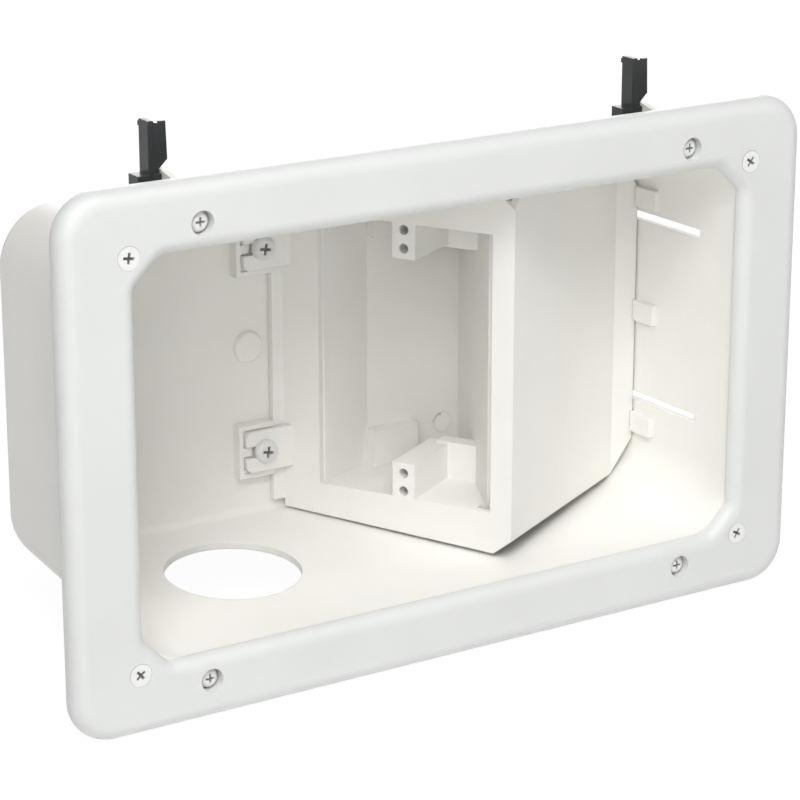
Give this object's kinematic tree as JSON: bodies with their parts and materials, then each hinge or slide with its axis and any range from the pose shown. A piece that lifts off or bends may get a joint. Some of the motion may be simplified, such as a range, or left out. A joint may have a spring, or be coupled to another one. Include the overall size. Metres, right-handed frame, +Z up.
{
  "type": "recessed media box",
  "caption": "White recessed wall box with a rounded trim frame, an angled single-gang device box inside, a round cable hole in its floor and flip-out mounting wings on screws.",
  "frame": {"origin": "centre of the opening, in the plane of the wall's face, which is the back of the trim's rim and of the flange", "axes": "+X to the right seen from the room, +Y into the wall, +Z up"},
  "size_m": [0.293, 0.102, 0.1946],
  "materials": {
    "trim_white": "satin white moulding",
    "body_white": "satin white moulding",
    "wing_black": "satin black moulding",
    "screw_white": "white painted steel",
    "screw_steel": "white painted head on a plain steel shank"
  },
  "bodies": {
    "box": {"main_box": "body_white", "trim_plate": "trim_white", "device_box": "body_white", "trim_screw_top_left": "screw_white", "trim_screw_top_right": "screw_white", "trim_screw_bottom_left": "screw_white", "trim_screw_bottom_right": "screw_white", "device_box_screw_upper": "screw_white", "device_box_screw_lower": "screw_white"},
    "wing_screw_top_left": {"wing_screw_top_left": "screw_steel"},
    "wing_top_left": {"mounting_wing_top_left": "wing_black"},
    "wing_screw_top_right": {"wing_screw_top_right": "screw_steel"},
    "wing_top_right": {"mounting_wing_top_right": "wing_black"},
    "wing_screw_bottom_left": {"wing_screw_bottom_left": "screw_steel"},
    "wing_bottom_left": {"mounting_wing_bottom_left": "wing_black"},
    "wing_screw_bottom_right": {"wing_screw_bottom_right": "screw_steel"},
    "wing_bottom_right": {"mounting_wing_bottom_right": "wing_black"}
  },
  "joints": [
    {"name": "wing_swing_top_left", "type": "hinge", "parent": "box", "child": "wing_screw_top_left", "pos_m": [-0.0967, 0.028, 0.0773], "axis": [0, 1, 0], "range_deg": [-90, 0]},
    {"name": "wing_slide_top_left", "type": "slide", "parent": "wing_screw_top_left", "child": "wing_top_left", "axis": [0, 1, 0], "range_m": [-0.022, 0.003]},
    {"name": "wing_swing_top_right", "type": "hinge", "parent": "box", "child": "wing_screw_top_right", "pos_m": [0.0967, 0.028, 0.0773], "axis": [0, 1, 0], "range_deg": [-90, 0]},
    {"name": "wing_slide_top_right", "type": "slide", "parent": "wing_screw_top_right", "child": "wing_top_right", "axis": [0, 1, 0], "range_m": [-0.022, 0.003]},
    {"name": "wing_swing_bottom_left", "type": "hinge", "parent": "box", "child": "wing_screw_bottom_left", "pos_m": [-0.0967, 0.028, -0.0773], "axis": [0, 1, 0], "range_deg": [0, 90]},
    {"name": "wing_slide_bottom_left", "type": "slide", "parent": "wing_screw_bottom_left", "child": "wing_bottom_left", "axis": [0, 1, 0], "range_m": [-0.022, 0.003]},
    {"name": "wing_swing_bottom_right", "type": "hinge", "parent": "box", "child": "wing_screw_bottom_right", "pos_m": [0.0967, 0.028, -0.0773], "axis": [0, 1, 0], "range_deg": [0, 90]},
    {"name": "wing_slide_bottom_right", "type": "slide", "parent": "wing_screw_bottom_right", "child": "wing_bottom_right", "axis": [0, 1, 0], "range_m": [-0.022, 0.003]}
  ]
}
